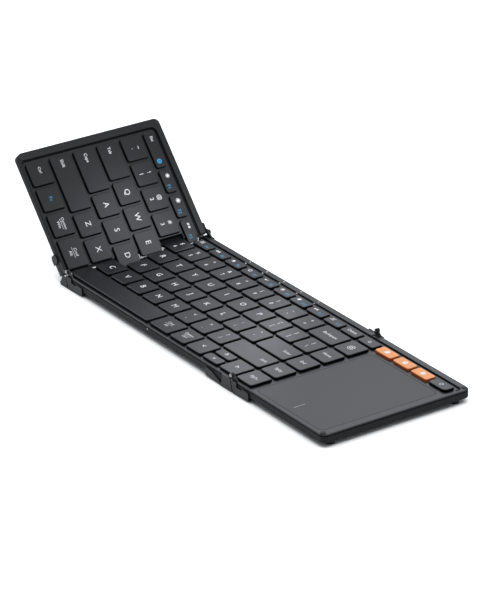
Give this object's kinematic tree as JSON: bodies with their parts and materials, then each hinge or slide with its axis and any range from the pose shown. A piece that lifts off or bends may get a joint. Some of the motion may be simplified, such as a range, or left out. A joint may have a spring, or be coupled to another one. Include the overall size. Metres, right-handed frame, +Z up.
{
  "type": "folding_keyboard",
  "caption": "Dark grey tri-fold travel keyboard with staggered keys that part along the fold, three orange function keys, exposed hinges and a touchpad on the right panel",
  "frame": {"origin": "middle of the object's footprint in its rest pose, on the table", "axes": "X runs along the key rows to the touchpad, Y from the space bar to the function row, Z up"},
  "size_m": [0.3602, 0.1174, 0.0759],
  "materials": {
    "deck_plastic": "moulded dark grey plastic with a fine satin grain",
    "key_plastic": "moulded dark grey keycaps with a fine satin grain",
    "shell_plastic": "moulded near-black plastic shell",
    "orange_plastic": "moulded light orange keycaps",
    "hinge_metal": "die-cast hinge leaves painted dark grey",
    "pin_steel": "turned steel hinge pins",
    "plate_steel": "stamped steel plates under the keys",
    "screw_steel": "blackened steel screws",
    "sheet_rubber": "dark moulded dome sheet",
    "leg_plastic": "dark moulded scissor legs",
    "foot_rubber": "black rubber pads",
    "bumper_rubber": "dark grey rubber buttons",
    "touchpad_surface": "smooth dark grey touch surface",
    "circuit_board": "green circuit board",
    "battery_foil": "foil-wrapped flat battery",
    "socket_metal": "folded sheet-metal socket",
    "light_lens": "milky light lens"
  },
  "bodies": {
    "centre_panel": {"centre_bottom_shell": "shell_plastic", "centre_top_frame": "deck_plastic", "centre_support_plate": "plate_steel", "centre_switch_sheet": "sheet_rubber", "centre_scissor_legs": "leg_plastic", "centre_long_leaves": "hinge_metal", "centre_short_leaves": "hinge_metal", "right_hinge_pins": "pin_steel", "centre_screws": "screw_steel", "status_light": "light_lens"},
    "left_panel": {"left_bottom_shell": "shell_plastic", "left_top_frame": "deck_plastic", "left_support_plate": "plate_steel", "left_switch_sheet": "sheet_rubber", "left_scissor_legs": "leg_plastic", "left_hinge_leaves": "hinge_metal", "left_hinge_pins": "pin_steel", "left_feet": "foot_rubber", "left_bumpers": "bumper_rubber", "left_screws": "screw_steel"},
    "right_panel": {"right_bottom_shell": "shell_plastic", "right_top_frame": "deck_plastic", "right_support_plate": "plate_steel", "right_switch_sheet": "sheet_rubber", "right_scissor_legs": "leg_plastic", "right_short_leaves": "hinge_metal", "right_feet": "foot_rubber", "right_bumpers": "bumper_rubber", "right_screws": "screw_steel", "battery": "battery_foil", "main_board": "circuit_board", "charging_socket": "socket_metal"},
    "touchpad": {"touchpad_plate": "touchpad_surface", "touchpad_board": "circuit_board"},
    "left_function_key_set": {"left_function_keys": "key_plastic"},
    "left_number_key_set": {"left_number_keys": "key_plastic"},
    "left_letter_key_set": {"left_letter_keys": "key_plastic"},
    "tab_key_body": {"tab_key": "key_plastic"},
    "caps_key_body": {"caps_key": "key_plastic"},
    "left_shift_key_body": {"left_shift_key": "key_plastic"},
    "left_bottom_key_set": {"left_bottom_keys": "key_plastic"},
    "centre_function_key_set": {"centre_function_keys": "key_plastic"},
    "centre_number_key_set": {"centre_number_keys": "key_plastic"},
    "backspace_key_body": {"backspace_key": "key_plastic"},
    "upper_letter_key_set": {"upper_letter_keys": "key_plastic"},
    "middle_letter_key_set": {"middle_letter_keys": "key_plastic"},
    "lower_letter_key_set": {"lower_letter_keys": "key_plastic"},
    "enter_key_body": {"enter_key": "key_plastic"},
    "right_shift_key_body": {"right_shift_key": "key_plastic"},
    "space_key_body": {"space_key": "key_plastic"},
    "centre_bottom_key_set": {"centre_bottom_keys": "key_plastic"},
    "arrow_key_set": {"arrow_keys": "key_plastic"},
    "navigation_key_set": {"navigation_keys": "key_plastic"},
    "capture_key_body": {"capture_key": "key_plastic"},
    "orange_key_left_body": {"orange_key_left": "orange_plastic"},
    "orange_key_middle_body": {"orange_key_middle": "orange_plastic"},
    "orange_key_right_body": {"orange_key_right": "orange_plastic"},
    "lock_key_body": {"lock_key": "key_plastic"}
  },
  "joints": [
    {"name": "left_fold", "type": "hinge", "parent": "centre_panel", "child": "left_panel", "pos_m": [-0.11323, 0, 0.0118], "axis": [0, 1, 0], "range_deg": [-48, 132]},
    {"name": "right_fold", "type": "hinge", "parent": "centre_panel", "child": "right_panel", "pos_m": [0.08152, 0, 0.0118], "axis": [0, -1, 0], "range_deg": [0, 180]},
    {"name": "left_function_keys_press", "type": "slide", "parent": "left_panel", "child": "left_function_key_set", "axis": [-0.7431, 0, -0.6691], "range_m": [0, 0.0011], "stiffness_N_per_m": 400, "springref_m": -0.0003},
    {"name": "left_number_keys_press", "type": "slide", "parent": "left_panel", "child": "left_number_key_set", "axis": [-0.7431, 0, -0.6691], "range_m": [0, 0.0011], "stiffness_N_per_m": 400, "springref_m": -0.0003},
    {"name": "left_letter_keys_press", "type": "slide", "parent": "left_panel", "child": "left_letter_key_set", "axis": [-0.7431, 0, -0.6691], "range_m": [0, 0.0011], "stiffness_N_per_m": 400, "springref_m": -0.0003},
    {"name": "tab_key_press", "type": "slide", "parent": "left_panel", "child": "tab_key_body", "axis": [-0.7431, 0, -0.6691], "range_m": [0, 0.0011], "stiffness_N_per_m": 400, "springref_m": -0.0003},
    {"name": "caps_key_press", "type": "slide", "parent": "left_panel", "child": "caps_key_body", "axis": [-0.7431, 0, -0.6691], "range_m": [0, 0.0011], "stiffness_N_per_m": 400, "springref_m": -0.0003},
    {"name": "left_shift_key_press", "type": "slide", "parent": "left_panel", "child": "left_shift_key_body", "axis": [-0.7431, 0, -0.6691], "range_m": [0, 0.0011], "stiffness_N_per_m": 400, "springref_m": -0.0003},
    {"name": "left_bottom_keys_press", "type": "slide", "parent": "left_panel", "child": "left_bottom_key_set", "axis": [-0.7431, 0, -0.6691], "range_m": [0, 0.0011], "stiffness_N_per_m": 400, "springref_m": -0.0003},
    {"name": "centre_function_keys_press", "type": "slide", "parent": "centre_panel", "child": "centre_function_key_set", "axis": [0, 0, -1], "range_m": [0, 0.0011], "stiffness_N_per_m": 400, "springref_m": -0.0003},
    {"name": "centre_number_keys_press", "type": "slide", "parent": "centre_panel", "child": "centre_number_key_set", "axis": [0, 0, -1], "range_m": [0, 0.0011], "stiffness_N_per_m": 400, "springref_m": -0.0003},
    {"name": "backspace_key_press", "type": "slide", "parent": "centre_panel", "child": "backspace_key_body", "axis": [0, 0, -1], "range_m": [0, 0.0011], "stiffness_N_per_m": 400, "springref_m": -0.0003},
    {"name": "upper_letter_keys_press", "type": "slide", "parent": "centre_panel", "child": "upper_letter_key_set", "axis": [0, 0, -1], "range_m": [0, 0.0011], "stiffness_N_per_m": 400, "springref_m": -0.0003},
    {"name": "middle_letter_keys_press", "type": "slide", "parent": "centre_panel", "child": "middle_letter_key_set", "axis": [0, 0, -1], "range_m": [0, 0.0011], "stiffness_N_per_m": 400, "springref_m": -0.0003},
    {"name": "lower_letter_keys_press", "type": "slide", "parent": "centre_panel", "child": "lower_letter_key_set", "axis": [0, 0, -1], "range_m": [0, 0.0011], "stiffness_N_per_m": 400, "springref_m": -0.0003},
    {"name": "enter_key_press", "type": "slide", "parent": "centre_panel", "child": "enter_key_body", "axis": [0, 0, -1], "range_m": [0, 0.0011], "stiffness_N_per_m": 400, "springref_m": -0.0003},
    {"name": "right_shift_key_press", "type": "slide", "parent": "centre_panel", "child": "right_shift_key_body", "axis": [0, 0, -1], "range_m": [0, 0.0011], "stiffness_N_per_m": 400, "springref_m": -0.0003},
    {"name": "space_key_press", "type": "slide", "parent": "centre_panel", "child": "space_key_body", "axis": [0, 0, -1], "range_m": [0, 0.0011], "stiffness_N_per_m": 400, "springref_m": -0.0003},
    {"name": "centre_bottom_keys_press", "type": "slide", "parent": "centre_panel", "child": "centre_bottom_key_set", "axis": [0, 0, -1], "range_m": [0, 0.0011], "stiffness_N_per_m": 400, "springref_m": -0.0003},
    {"name": "arrow_keys_press", "type": "slide", "parent": "centre_panel", "child": "arrow_key_set", "axis": [0, 0, -1], "range_m": [0, 0.0011], "stiffness_N_per_m": 400, "springref_m": -0.0003},
    {"name": "navigation_keys_press", "type": "slide", "parent": "right_panel", "child": "navigation_key_set", "axis": [0, 0, -1], "range_m": [0, 0.0011], "stiffness_N_per_m": 400, "springref_m": -0.0003},
    {"name": "capture_key_press", "type": "slide", "parent": "right_panel", "child": "capture_key_body", "axis": [0, 0, -1], "range_m": [0, 0.0011], "stiffness_N_per_m": 400, "springref_m": -0.0003},
    {"name": "orange_key_left_press", "type": "slide", "parent": "right_panel", "child": "orange_key_left_body", "axis": [0, 0, -1], "range_m": [0, 0.0011], "stiffness_N_per_m": 400, "springref_m": -0.0003},
    {"name": "orange_key_middle_press", "type": "slide", "parent": "right_panel", "child": "orange_key_middle_body", "axis": [0, 0, -1], "range_m": [0, 0.0011], "stiffness_N_per_m": 400, "springref_m": -0.0003},
    {"name": "orange_key_right_press", "type": "slide", "parent": "right_panel", "child": "orange_key_right_body", "axis": [0, 0, -1], "range_m": [0, 0.0011], "stiffness_N_per_m": 400, "springref_m": -0.0003},
    {"name": "lock_key_press", "type": "slide", "parent": "right_panel", "child": "lock_key_body", "axis": [0, 0, -1], "range_m": [0, 0.0011], "stiffness_N_per_m": 400, "springref_m": -0.0003},
    {"name": "touchpad_press", "type": "slide", "parent": "right_panel", "child": "touchpad", "axis": [0, 0, -1], "range_m": [0, 0.0003], "stiffness_N_per_m": 2000, "springref_m": -0.0003}
  ]
}
